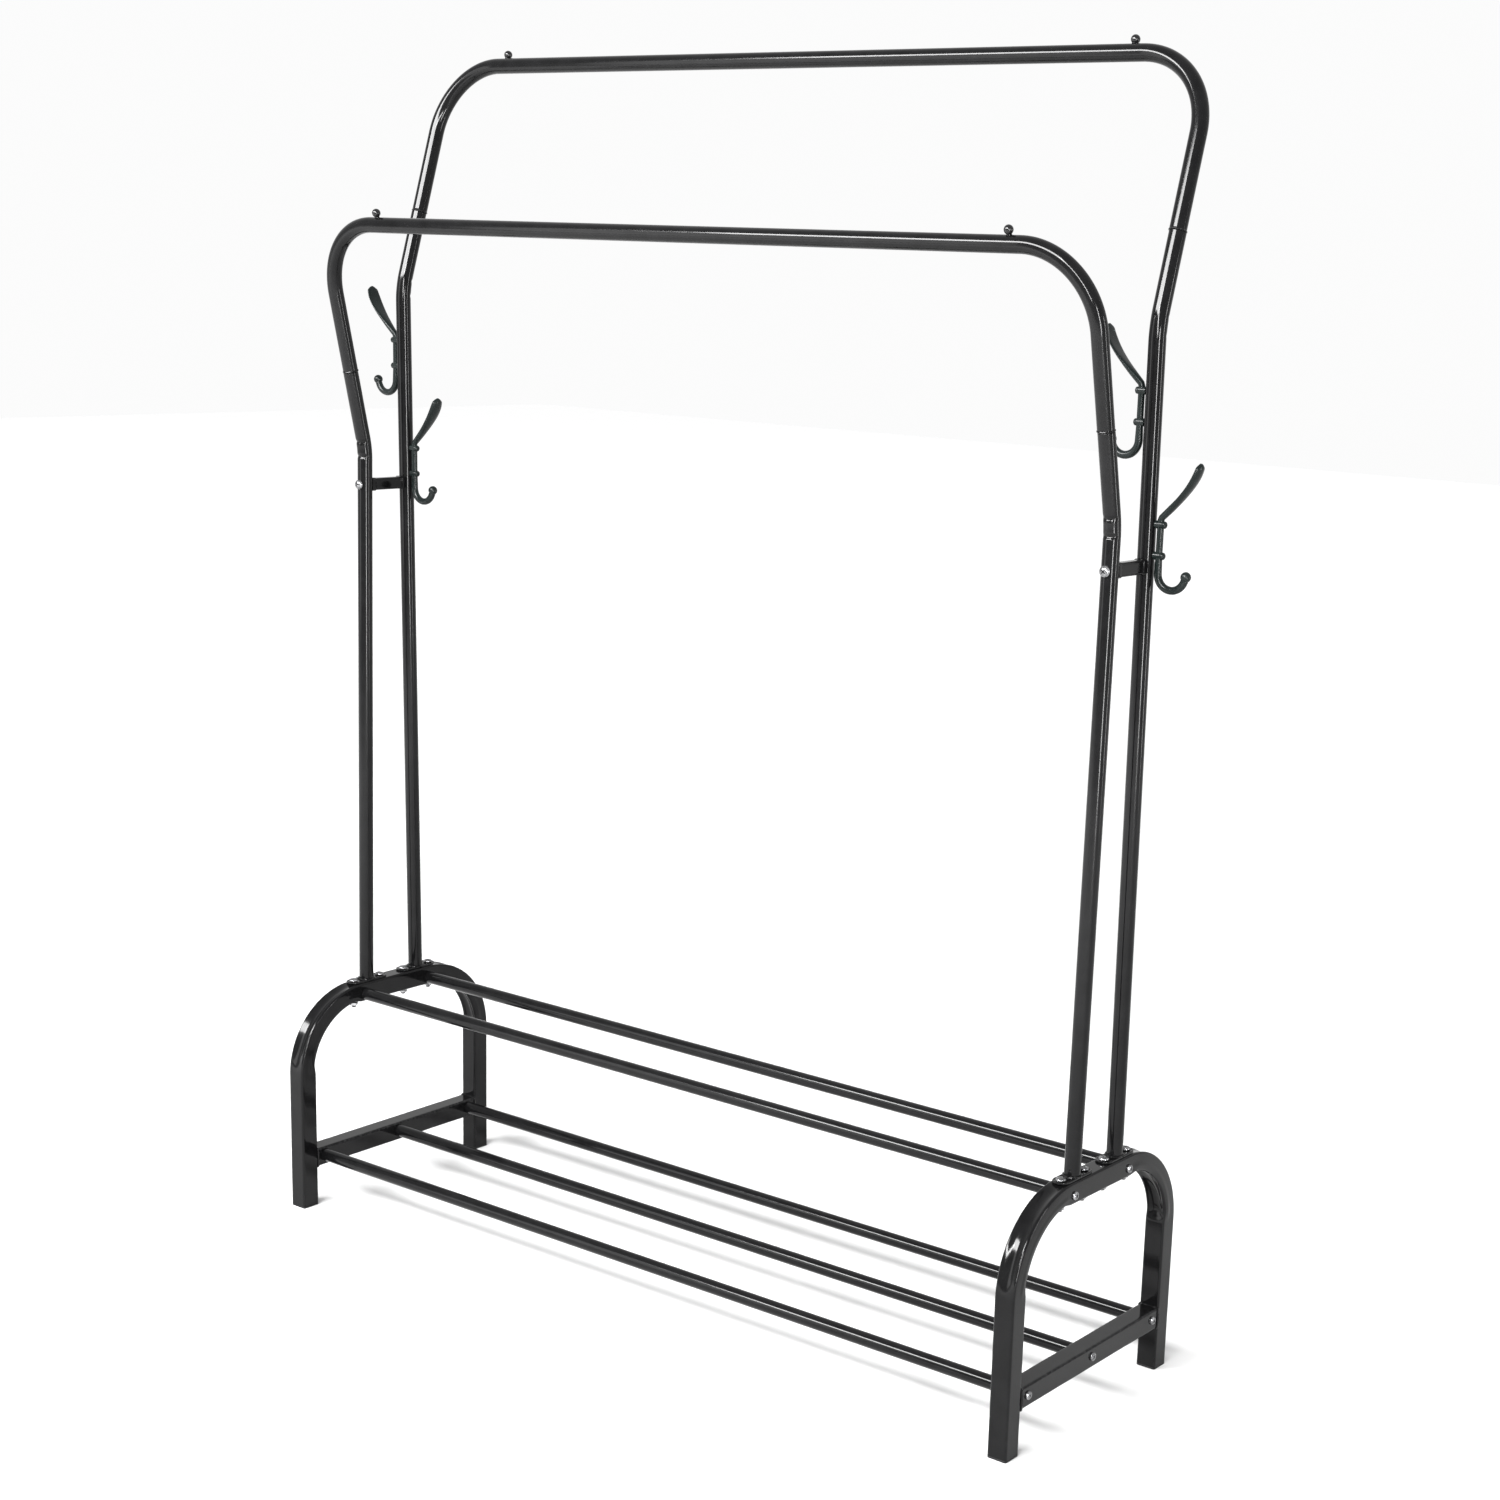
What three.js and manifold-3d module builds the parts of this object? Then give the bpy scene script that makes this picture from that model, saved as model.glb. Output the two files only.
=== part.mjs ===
// Garment rail: two square-tube end frames carry four round uprights, two inverted-U top rails,
// two braces, five shelf rods and four double coat hooks. Millimetres, +Z up, front towards -Y.
// The origin is on the floor, in the middle of the rail.
import * as THREE from "three";
import { mergeVertices } from "three/addons/utils/BufferGeometryUtils.js";
import Module from "manifold-3d";

const wasm = await Module();
wasm.setup();

// ---- Driving dimensions ----
const GAP = 0.3; // between pieces that touch
const FRAME_X = 570; // middle of the rail to the middle of an end frame

const SQUARE = 25.4; // square tube, across its flats
const SQUARE_WALL = 1.5;
const SQUARE_CORNER = 1.6; // corner flat, in from each face
const LEG_Y = 157.5; // middle plane to a leg's centre line
const FRAME_TOP = 293; // top face of the end frame
const FRAME_BEND = 96; // bend radius on the centre line
const CROSSBAR_Z = 66.4;
const FOOT_FLANGE = 2.5;
const FOOT_PLUG = 12;

const ROUND_R = 9.5; // uprights and top rails
const ROUND_WALL = 1.2;
const BASE_Y = 44.5; // upright's centre line where it is welded to its base plate
const BEND_R = 120; // bend near the top of an upright
const FRONT_BEND = new THREE.Vector2(-35.5, 1008.5); // corner of that bend, as Y and Z
const REAR_BEND = new THREE.Vector2(33, 1213.5);
const FRONT_RAIL = new THREE.Vector2(-100, 1289.3); // centre line of the top rail, as Y and Z
const REAR_RAIL = new THREE.Vector2(118.2, 1494.9);
const RAIL_BEND = 88;
const JOINT_UP = 100; // from the bend's corner to the plug-in joint
const SPIGOT_R = 7.9;
const SPIGOT_LENGTH = 38;

const PLATE_THICK = 2.4; // base plate under each upright
const PLATE_WIDTH = 21;
const PLATE_LENGTH = 64;
const PLATE_BOLT = 23; // plate centre to each bolt
const BOLT_R = 3;
const SCREW_R = 2.75;
const HOLE = 0.35; // radial clearance round a bolt or screw
const NUT_ACROSS = 10;
const NUT_THICK = 4;
const NUT_GAP = 1.8; // the outer nuts sit where the tube has begun to bend

const ROD_R = 8;
const ROD_WALL = 1.1;
const UPPER_ROD_Y = 57;
const UPPER_ROD_DROP = 2.4; // below the centre line of the frame's top tube
const LOWER_ROD_Y = 132;
const LOWER_ROD_RISE = 1.4; // above the crossbar's centre line

const BRACE_Z = 962;
const BRACE_HIGH = 15.5;
const BRACE_WIDE = 12;

const BALL_X = 468.5; // stop balls on the rails
const BALL_R = 5.2;
const BALL_UP = ROUND_R + 5.2; // rail's centre line to the ball's centre

const HOOK_UPPER_Z = 1145; // upper screw of a hook
const HOOK_LOWER_Z = 1006.5;
const HOOK_SCREWS = 33; // between a hook's two screws
const HOOK_STEM = 16; // upright's centre line to the hook's stem
const HOOK_R = 3.7; // radius of the stem
const BLADE_HALF = 9.8; // half width of the upper prong at its widest
const PRONG_OUT = 44.5; // stem to the prong's tip, across
const PRONG_UP = 67.5; // upper screw to the prong's tip
const CURL_R = 16.8;
const CURL_THICK = 4.3; // radius of the bar that forms the curl
const CURL_DROP = 18.6; // lower screw to the curl's centre
const CURL_BALL_R = 5.8;

const ROUND_SIDES = 12;
const SMALL_SIDES = 8;

// ---- Materials ----
const paint = new THREE.MeshStandardMaterial({
  name: "powder_coat",
  color: 0x25272a,
  roughness: 0.42,
  metalness: 0.1,
});
const plastic = new THREE.MeshStandardMaterial({
  name: "foot_plastic",
  color: 0x121213,
  roughness: 0.6,
  metalness: 0,
});
const ballPaint = new THREE.MeshStandardMaterial({
  name: "ball_gloss",
  color: 0x17181a,
  roughness: 0.18,
  metalness: 0.1,
});
const screwBlack = new THREE.MeshStandardMaterial({
  name: "screw_black",
  color: 0x1b1c1e,
  roughness: 0.25,
  metalness: 0.8,
});
const hookPaint = new THREE.MeshStandardMaterial({
  name: "hook_coat",
  color: 0x24282a,
  roughness: 0.35,
  metalness: 0.3,
});

// ---- Joining and cutting ----
function toSolid(geometry) {
  const bare = geometry.clone();
  bare.deleteAttribute("normal");
  bare.deleteAttribute("uv");
  const merged = mergeVertices(bare, 1e-4);
  return new wasm.Manifold(
    new wasm.Mesh({
      numProp: 3,
      vertProperties: merged.attributes.position.array,
      triVerts: new Uint32Array(merged.index.array),
    }),
  );
}

function toGeometry(solid) {
  const mesh = solid.getMesh();
  const geometry = new THREE.BufferGeometry();
  geometry.setAttribute(
    "position",
    new THREE.BufferAttribute(new Float32Array(mesh.vertProperties), 3),
  );
  geometry.setIndex(new THREE.BufferAttribute(new Uint32Array(mesh.triVerts), 1));
  geometry.computeVertexNormals();
  return geometry;
}

function join(first, ...others) {
  return toGeometry(others.reduce((all, g) => all.add(toSolid(g)), toSolid(first)));
}

function cut(body, ...tools) {
  return toGeometry(tools.reduce((left, g) => left.subtract(toSolid(g)), toSolid(body)));
}

// ---- Shapes ----
// A path of straight runs with an arc at each corner, with stations only where it turns.
class BentPath extends THREE.Curve {
  constructor(corners, radius, arcSteps) {
    super();
    this.stations = [];
    this.tangents = [];
    const along = (a, b) => new THREE.Vector3().subVectors(b, a).normalize();
    const last = corners.length - 1;
    this.add(corners[0], along(corners[0], corners[1]));
    for (let i = 1; i < last; i++) {
      const into = along(corners[i - 1], corners[i]);
      const out = along(corners[i], corners[i + 1]);
      const turn = into.angleTo(out);
      const inward = out.clone().addScaledVector(into, -out.dot(into)).normalize();
      const start = corners[i].clone().addScaledVector(into, -radius * Math.tan(turn / 2));
      const centre = start.clone().addScaledVector(inward, radius);
      for (let k = 0; k <= arcSteps; k++) {
        const a = (turn * k) / arcSteps;
        const point = centre.clone().addScaledVector(inward, -radius * Math.cos(a));
        point.addScaledVector(into, radius * Math.sin(a));
        const tangent = into.clone().multiplyScalar(Math.cos(a));
        this.add(point, tangent.addScaledVector(inward, Math.sin(a)));
      }
    }
    this.add(corners[last], along(corners[last - 1], corners[last]));
    this.steps = this.stations.length - 1;
  }
  add(point, tangent) {
    this.stations.push(point.clone());
    this.tangents.push(tangent.clone());
  }
  getPointAt(u, target = new THREE.Vector3()) {
    return target.copy(this.stations[Math.round(u * this.steps)]);
  }
  getTangentAt(u, target = new THREE.Vector3()) {
    return target.copy(this.tangents[Math.round(u * this.steps)]);
  }
}

function circlePoints(radius, sides) {
  const points = [];
  for (let i = 0; i < sides; i++) {
    const a = (2 * Math.PI * (i + 0.5)) / sides;
    points.push(new THREE.Vector2(radius * Math.cos(a), radius * Math.sin(a)));
  }
  return points;
}

// A rectangle with each corner cut by a short flat, or left sharp.
function squarePoints(width, height, corner = 0) {
  const points = [];
  for (let i = 0; i < 4; i++) {
    const sx = i === 0 || i === 3 ? 1 : -1;
    const sy = i < 2 ? 1 : -1;
    const cx = sx * (width / 2 - corner);
    const cy = sy * (height / 2 - corner);
    for (let k = 0; k < (corner ? 2 : 1); k++) {
      const a = (Math.PI / 2) * (i + k);
      points.push(new THREE.Vector2(cx + corner * Math.cos(a), cy + corner * Math.sin(a)));
    }
  }
  return points;
}

function swept(path, outer, inner) {
  const shape = new THREE.Shape(outer);
  if (inner) shape.holes.push(new THREE.Path(inner));
  return new THREE.ExtrudeGeometry(shape, {
    steps: path.steps,
    bevelEnabled: false,
    extrudePath: path,
  });
}

// A turned piece: profile pairs of radius and height, with its axis along +Z.
function turned(profile, sides) {
  const points = profile.map(([r, h]) => new THREE.Vector2(r, h));
  return new THREE.LatheGeometry(points, sides).rotateX(Math.PI / 2);
}

function rodAlong(from, to, radius, sides = SMALL_SIDES) {
  const path = new BentPath([from, to], 1, 1);
  return swept(path, circlePoints(radius, sides));
}

const at = (x, y, z) => new THREE.Vector3(x, y, z);

const rail = new THREE.Group();
rail.name = "garment_rail";

function place(name, geometry, material, position, axis) {
  const mesh = new THREE.Mesh(geometry, material);
  mesh.name = name;
  if (position) mesh.position.copy(position);
  if (axis) mesh.quaternion.setFromUnitVectors(at(0, 0, 1), axis);
  rail.add(mesh);
  return mesh;
}

const ENDS = [
  { name: "left", x: -FRAME_X, out: -1 },
  { name: "right", x: FRAME_X, out: 1 },
];
const SIDES = [
  { name: "front", y: -1, bend: FRONT_BEND, rail: FRONT_RAIL },
  { name: "rear", y: 1, bend: REAR_BEND, rail: REAR_RAIL },
];
const TUBE_Z = FRAME_TOP - SQUARE / 2; // centre line of the frame's top tube
const UPPER_Z = TUBE_Z - UPPER_ROD_DROP;
const LOWER_Z = CROSSBAR_Z + LOWER_ROD_RISE;
const UNDER_TUBE = FRAME_TOP - SQUARE;
const PLATE_TOP = FRAME_TOP + GAP + PLATE_THICK;

// The Y of an upright's centre line at a height below its bend.
function uprightY(side, z) {
  const base = side.y * BASE_Y;
  return base + ((side.bend.x - base) * (z - FRAME_TOP)) / (side.bend.y - FRAME_TOP);
}

// ---- End frames, crossbars and feet ----
const frameSection = squarePoints(SQUARE, SQUARE, SQUARE_CORNER);
const inside = SQUARE - 2 * SQUARE_WALL;
const frameBore = squarePoints(inside, inside);

function endFrameGeometry() {
  const foot = FOOT_FLANGE + GAP;
  const path = new BentPath(
    [at(0, -LEG_Y, foot), at(0, -LEG_Y, TUBE_Z), at(0, LEG_Y, TUBE_Z), at(0, LEG_Y, foot)],
    FRAME_BEND,
    7,
  );
  const drills = [];
  for (const side of SIDES) {
    for (const step of [-PLATE_BOLT, PLATE_BOLT]) {
      const y = side.y * BASE_Y + step;
      const drill = rodAlong(at(0, y, UNDER_TUBE - 5), at(0, y, FRAME_TOP + 5), BOLT_R + HOLE);
      drills.push(drill);
    }
    const y = side.y * UPPER_ROD_Y;
    drills.push(rodAlong(at(-SQUARE, y, UPPER_Z), at(SQUARE, y, UPPER_Z), SCREW_R + HOLE));
  }
  return cut(swept(path, frameSection, frameBore), ...drills);
}

function crossbarGeometry() {
  const half = LEG_Y - SQUARE / 2 - GAP;
  const path = new BentPath([at(0, -half, 0), at(0, half, 0)], 1, 1);
  const drills = [-LOWER_ROD_Y, 0, LOWER_ROD_Y].map((y) =>
    rodAlong(at(-SQUARE, y, LOWER_ROD_RISE), at(SQUARE, y, LOWER_ROD_RISE), SCREW_R + HOLE),
  );
  return cut(swept(path, frameSection, frameBore), ...drills);
}

function footGeometry() {
  const flange = new THREE.BoxGeometry(SQUARE, SQUARE, FOOT_FLANGE);
  flange.translate(0, 0, FOOT_FLANGE / 2);
  const across = SQUARE - 2 * SQUARE_WALL - 2 * GAP - 0.6;
  const plug = new THREE.BoxGeometry(across, across, FOOT_PLUG);
  plug.translate(0, 0, FOOT_FLANGE - 0.5 + FOOT_PLUG / 2);
  return join(flange, plug);
}

const frameShape = endFrameGeometry();
const crossbarShape = crossbarGeometry();
const footShape = footGeometry();
for (const end of ENDS) {
  place("end_frame_" + end.name, frameShape, paint, at(end.x, 0, 0));
  place("crossbar_" + end.name, crossbarShape, paint, at(end.x, 0, CROSSBAR_Z));
  for (const side of SIDES) {
    const spot = at(end.x, side.y * LEG_Y, 0);
    place("foot_" + side.name + "_" + end.name, footShape, plastic, spot);
  }
}

// ---- Uprights, each with its welded base plate and its spigot ----
function basePlate(side) {
  const r = PLATE_WIDTH / 2;
  const half = PLATE_LENGTH / 2 - r;
  const outline = [];
  for (let i = 0; i <= 5; i++) {
    const a = (Math.PI * i) / 5;
    outline.push(new THREE.Vector2(r * Math.cos(a), half + r * Math.sin(a)));
  }
  for (let i = 0; i <= 5; i++) {
    const a = Math.PI + (Math.PI * i) / 5;
    outline.push(new THREE.Vector2(r * Math.cos(a), -half + r * Math.sin(a)));
  }
  const shape = new THREE.Shape(outline);
  for (const y of [-PLATE_BOLT, PLATE_BOLT]) {
    const hole = circlePoints(BOLT_R + HOLE, SMALL_SIDES).map((p) => p.add({ x: 0, y }));
    shape.holes.push(new THREE.Path(hole));
  }
  const plate = new THREE.ExtrudeGeometry(shape, { depth: PLATE_THICK, bevelEnabled: false });
  return plate.translate(0, side.y * BASE_Y, FRAME_TOP + GAP);
}

function jointOf(side) {
  const up = new THREE.Vector2().subVectors(side.rail, side.bend).normalize();
  const point = side.bend.clone().addScaledVector(up, JOINT_UP);
  return { up: at(0, up.x, up.y), point: at(0, point.x, point.y) };
}

function uprightGeometry(side) {
  const joint = jointOf(side);
  const path = new BentPath(
    [
      at(0, side.y * BASE_Y, FRAME_TOP + 1.6),
      at(0, side.bend.x, side.bend.y),
      joint.point.clone(),
    ],
    BEND_R,
    3,
  );
  const outer = circlePoints(ROUND_R, ROUND_SIDES);
  const bore = circlePoints(ROUND_R - ROUND_WALL, ROUND_SIDES);
  const shoulder = ROUND_R - ROUND_WALL / 2;
  const spigotBore = SPIGOT_R - ROUND_WALL;
  const spigot = turned(
    [
      [spigotBore, -8],
      [shoulder, -8],
      [shoulder, -1],
      [SPIGOT_R, -1],
      [SPIGOT_R, SPIGOT_LENGTH],
      [spigotBore, SPIGOT_LENGTH],
      [spigotBore, -8],
    ],
    ROUND_SIDES,
  );
  spigot.applyQuaternion(new THREE.Quaternion().setFromUnitVectors(at(0, 0, 1), joint.up));
  spigot.translate(joint.point.x, joint.point.y, joint.point.z);
  const y = uprightY(side, BRACE_Z);
  const drill = rodAlong(at(0, y - 15, BRACE_Z), at(0, y + 15, BRACE_Z), SCREW_R + HOLE);
  return cut(join(swept(path, outer, bore), basePlate(side), spigot), drill);
}

// ---- Top rails, each an inverted U that plugs over two spigots ----
function topRailGeometry(side) {
  const joint = jointOf(side);
  const start = joint.point.clone().addScaledVector(joint.up, GAP);
  const left = at(-FRAME_X, start.y, start.z);
  const right = at(FRAME_X, start.y, start.z);
  const path = new BentPath(
    [
      left,
      at(-FRAME_X, side.rail.x, side.rail.y),
      at(FRAME_X, side.rail.x, side.rail.y),
      right,
    ],
    RAIL_BEND,
    6,
  );
  const outer = circlePoints(ROUND_R, ROUND_SIDES);
  const bore = circlePoints(ROUND_R - ROUND_WALL, ROUND_SIDES);
  const drills = [-BALL_X, BALL_X].map((x) => {
    const foot = at(x, side.rail.x, side.rail.y);
    return rodAlong(foot, foot.clone().addScaledVector(joint.up, 20), 2 + HOLE);
  });
  return cut(swept(path, outer, bore), ...drills);
}

// A stop ball on a short neck, with a stem that goes down into the rail.
const ballProfile = [
  [0, -5],
  [2, -5],
  [2, ROUND_R + GAP],
  [3, ROUND_R + GAP],
  [2.6, ROUND_R + 1.4],
];
for (let i = 1; i <= 5; i++) {
  const a = ((i - 3) * Math.PI) / 7;
  ballProfile.push([BALL_R * Math.cos(a), BALL_UP + BALL_R * Math.sin(a)]);
}
ballProfile.push([0, BALL_UP + BALL_R]);
const ballShape = turned(ballProfile, SMALL_SIDES + 2);

for (const side of SIDES) {
  const uprightShape = uprightGeometry(side);
  const joint = jointOf(side);
  place("top_rail_" + side.name, topRailGeometry(side), paint);
  for (const end of ENDS) {
    const tag = side.name + "_" + end.name;
    place("upright_" + tag, uprightShape, paint, at(end.x, 0, 0));
    const spot = at(end.out * BALL_X, side.rail.x, side.rail.y);
    place("stop_ball_" + tag, ballShape, ballPaint, spot, joint.up);
  }
}

// ---- Screws, bolts and nuts ----
// The head's underside is at zero height; the shank runs down from it.
function screwGeometry(shankR, length, headR, headHigh, domed) {
  const rim = domed ? headHigh * 0.3 : headHigh * 0.5;
  return turned(
    [
      [0, -length],
      [shankR, -length],
      [shankR, 0],
      [headR, 0],
      [headR, rim],
      [headR * (domed ? 0.78 : 0.8), headHigh * (domed ? 0.75 : 0.9)],
      [0, headHigh],
    ],
    SMALL_SIDES,
  );
}

function nutGeometry(across, thick) {
  const hexagon = new THREE.Shape(circlePoints(across / Math.sqrt(3), 6));
  hexagon.holes.push(new THREE.Path(circlePoints(BOLT_R + HOLE, SMALL_SIDES)));
  return new THREE.ExtrudeGeometry(hexagon, { depth: thick, bevelEnabled: false });
}

const boltShape = screwGeometry(BOLT_R, 37, 6, 2.8, false);
const nutShape = nutGeometry(NUT_ACROSS, NUT_THICK);
const nutZ = UNDER_TUBE - NUT_GAP - NUT_THICK;
const rodScrewShape = screwGeometry(SCREW_R, 34, 5, 3, false);
const braceBoltShape = screwGeometry(SCREW_R, 33, 6.2, 4.6, true);

for (const end of ENDS) {
  for (const side of SIDES) {
    for (const [word, step] of [["fore", -PLATE_BOLT], ["aft", PLATE_BOLT]]) {
      const tag = side.name + "_" + end.name + "_" + word;
      const y = side.y * BASE_Y + step;
      place("base_bolt_" + tag, boltShape, screwBlack, at(end.x, y, PLATE_TOP + GAP));
      place("base_nut_" + tag, nutShape, screwBlack, at(end.x, y, nutZ));
    }
  }
}

// ---- Shelf rods and their screws ----
const rodHalf = FRAME_X - SQUARE / 2 - GAP;
const rodBore = SCREW_R + HOLE;
const rodShape = turned(
  [
    [rodBore, -rodHalf],
    [ROD_R, -rodHalf],
    [ROD_R, rodHalf],
    [rodBore, rodHalf],
    [rodBore, rodHalf - 12],
    [ROD_R - ROD_WALL, rodHalf - 12],
    [ROD_R - ROD_WALL, 12 - rodHalf],
    [rodBore, 12 - rodHalf],
    [rodBore, -rodHalf],
  ],
  ROUND_SIDES,
);
const RODS = [
  { name: "upper_front", y: -UPPER_ROD_Y, z: UPPER_Z },
  { name: "upper_rear", y: UPPER_ROD_Y, z: UPPER_Z },
  { name: "lower_front", y: -LOWER_ROD_Y, z: LOWER_Z },
  { name: "lower_middle", y: 0, z: LOWER_Z },
  { name: "lower_rear", y: LOWER_ROD_Y, z: LOWER_Z },
];
for (const rod of RODS) {
  place("shelf_rod_" + rod.name, rodShape, paint, at(0, rod.y, rod.z), at(1, 0, 0));
  for (const end of ENDS) {
    const head = at(end.x + end.out * (SQUARE / 2 + GAP), rod.y, rod.z);
    const name = "rod_screw_" + rod.name + "_" + end.name;
    place(name, rodScrewShape, screwBlack, head, at(end.out, 0, 0));
  }
}

// ---- Braces between the front and rear uprights, with saddle ends ----
function braceGeometry() {
  const [front, rear] = SIDES.map((side) => uprightY(side, BRACE_Z));
  const bar = (from, to, wide, high) => {
    const path = new BentPath([at(0, from, BRACE_Z), at(0, to, BRACE_Z)], 1, 1);
    return swept(path, squarePoints(high, wide, 2));
  };
  const saddle = ROUND_R + 4.5;
  const whole = join(
    bar(front + 2, rear - 2, BRACE_WIDE, BRACE_HIGH),
    bar(front + 2, front + saddle, BRACE_WIDE + 2, BRACE_HIGH + 1.5),
    bar(rear - saddle, rear - 2, BRACE_WIDE + 2, BRACE_HIGH + 1.5),
  );
  const tubes = SIDES.map((side) => {
    const low = at(0, uprightY(side, BRACE_Z - 30), BRACE_Z - 30);
    const high = at(0, uprightY(side, BRACE_Z + 30), BRACE_Z + 30);
    return rodAlong(low, high, ROUND_R + GAP + 0.2, 20);
  });
  const bores = [
    rodAlong(at(0, front, BRACE_Z), at(0, front + ROUND_R + 17, BRACE_Z), SCREW_R + HOLE),
    rodAlong(at(0, rear, BRACE_Z), at(0, rear - ROUND_R - 17, BRACE_Z), SCREW_R + HOLE),
  ];
  return cut(whole, ...tubes, ...bores);
}

const braceShape = braceGeometry();
for (const end of ENDS) {
  place("brace_" + end.name, braceShape, paint, at(end.x, 0, 0));
  for (const side of SIDES) {
    const y = uprightY(side, BRACE_Z) + side.y * (ROUND_R + GAP);
    const name = "brace_bolt_" + side.name + "_" + end.name;
    place(name, braceBoltShape, screwBlack, at(end.x, y, BRACE_Z), at(0, side.y, 0));
  }
}

// ---- Double coat hooks ----
// The centre line runs from the prong's tip down the stem and round the curl to its ball. It lies
// in the X-Z plane, X measured outwards from the upright's centre line, Z from the upper screw.
function hookLine() {
  const stations = [];
  const prong = new THREE.CubicBezierCurve(
    new THREE.Vector2(HOOK_STEM + PRONG_OUT, PRONG_UP),
    new THREE.Vector2(HOOK_STEM + PRONG_OUT - 2.5, PRONG_UP - 21),
    new THREE.Vector2(HOOK_STEM + 24, 30),
    new THREE.Vector2(HOOK_STEM + 1, 7.5),
  );
  for (let i = 0; i <= 9; i++) {
    const u = i / 9;
    // The tip is rounded, the blade is widest a third of the way down, the root is round.
    const spread = Math.sin(Math.PI * (0.12 + 0.88 * u ** 0.85));
    const wide = HOOK_R + (BLADE_HALF - HOOK_R) * spread;
    const thick = HOOK_R - 0.9 * Math.sin(Math.PI * Math.min(1, 1.15 * u));
    const round = Math.min(1, Math.sqrt(u * 6 + 0.12));
    const point = prong.getPoint(u * u * 0.35 + u * 0.65);
    stations.push({ point, wide: wide * round, thick: thick * round });
  }
  const low = -HOOK_SCREWS - CURL_DROP;
  for (const [z, r] of [[-4, HOOK_R], [-HOOK_SCREWS - 6, HOOK_R + 0.2]]) {
    stations.push({ point: new THREE.Vector2(HOOK_STEM, z), wide: r, thick: r });
  }
  for (let i = 0; i <= 7; i++) {
    const a = Math.PI + (i / 7) * Math.PI * 0.92;
    const x = HOOK_STEM + CURL_R + CURL_R * Math.cos(a);
    const point = new THREE.Vector2(x, low + CURL_R * Math.sin(a));
    stations.push({ point, wide: CURL_THICK, thick: CURL_THICK });
  }
  const end = stations[stations.length - 1].point;
  for (const [up, share] of [[0.8, 0.88], [3.2, 1], [6.1, 0.84], [7.8, 0.5]]) {
    const r = CURL_BALL_R * share;
    stations.push({ point: end.clone().add({ x: 0, y: up }), wide: r, thick: r });
  }
  return stations;
}

// A straight lathe of unit radius is laid along the centre line, one ring for each station.
function hookBody(outward) {
  const line = hookLine();
  const last = line.length + 1;
  const profile = [[0, 0]];
  line.forEach((station, i) => profile.push([1, i + 1]));
  profile.push([0, last]);
  const geometry = turned(profile, SMALL_SIDES);
  const position = geometry.attributes.position;
  for (let i = 0; i < position.count; i++) {
    const step = Math.round(position.getZ(i));
    const k = Math.min(Math.max(step - 1, 0), line.length - 1);
    const before = line[Math.max(k - 1, 0)].point;
    const after = line[Math.min(k + 1, line.length - 1)].point;
    const along = new THREE.Vector2().subVectors(after, before).normalize();
    const { point, wide, thick } = line[k];
    const cap = step === 0 ? -1 : step === last ? 0.8 : 0;
    const side = position.getX(i) * thick;
    const x = point.x + along.x * cap - along.y * side;
    const z = point.y + along.y * cap + along.x * side;
    position.setXYZ(i, outward * x, -outward * position.getY(i) * wide, z);
  }
  return geometry;
}

// A spacer from the upright to the stem, with the screw's head on the far side.
function hookBoss(outward, z) {
  const near = ROUND_R + GAP;
  const far = HOOK_STEM + HOOK_R;
  const boss = turned(
    [
      [0, near],
      [4.2, near],
      [4.2, far - 0.4],
      [3.8, far - 0.4],
      [3.8, far + 2],
      [2.6, far + 3.4],
      [0, far + 3.6],
    ],
    SMALL_SIDES,
  );
  return boss.rotateY((outward * Math.PI) / 2).translate(0, 0, z);
}

function hookGeometry(outward) {
  return join(hookBody(outward), hookBoss(outward, 0), hookBoss(outward, -HOOK_SCREWS));
}

const hookShapes = { upper: hookGeometry(-1), lower: hookGeometry(1) };
for (const end of ENDS) {
  for (const [word, z] of [["upper", HOOK_UPPER_Z], ["lower", HOOK_LOWER_Z]]) {
    const spot = at(end.x, uprightY(SIDES[1], z - HOOK_SCREWS / 2), z);
    place("coat_hook_" + end.name + "_" + word, hookShapes[word], hookPaint, spot);
  }
}

export default rail;
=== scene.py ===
"""Looks for the garment rail. Metres, +Z up, front towards -Y.

Every CAD node is replaced by one detailed piece in the same place. Places come from the frame's
boxes, and the sizes that a box can't give are named below.
"""

import math

import bmesh
import bpy
from mathutils import Matrix, Vector


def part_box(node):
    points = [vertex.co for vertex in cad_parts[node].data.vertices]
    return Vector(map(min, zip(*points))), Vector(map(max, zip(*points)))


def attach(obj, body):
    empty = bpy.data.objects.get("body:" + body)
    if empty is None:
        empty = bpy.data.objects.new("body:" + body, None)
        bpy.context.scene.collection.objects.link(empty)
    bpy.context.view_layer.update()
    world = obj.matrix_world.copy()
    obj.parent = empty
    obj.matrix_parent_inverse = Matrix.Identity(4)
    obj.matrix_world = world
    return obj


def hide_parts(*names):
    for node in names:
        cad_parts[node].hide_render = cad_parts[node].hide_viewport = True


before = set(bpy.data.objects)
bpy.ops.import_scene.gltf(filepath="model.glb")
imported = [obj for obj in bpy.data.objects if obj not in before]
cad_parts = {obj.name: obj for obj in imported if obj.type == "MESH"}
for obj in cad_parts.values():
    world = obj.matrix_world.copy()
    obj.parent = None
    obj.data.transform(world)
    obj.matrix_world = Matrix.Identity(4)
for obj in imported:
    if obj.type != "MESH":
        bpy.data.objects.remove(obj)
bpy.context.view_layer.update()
scene = bpy.context.scene
scene.view_settings.view_transform = "Standard"

MM = 0.001
X = Vector((1, 0, 0))
Y = Vector((0, 1, 0))
Z = Vector((0, 0, 1))

# ---- Sizes that the boxes don't give ----
GAP = 0.3 * MM  # between pieces that touch

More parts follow.
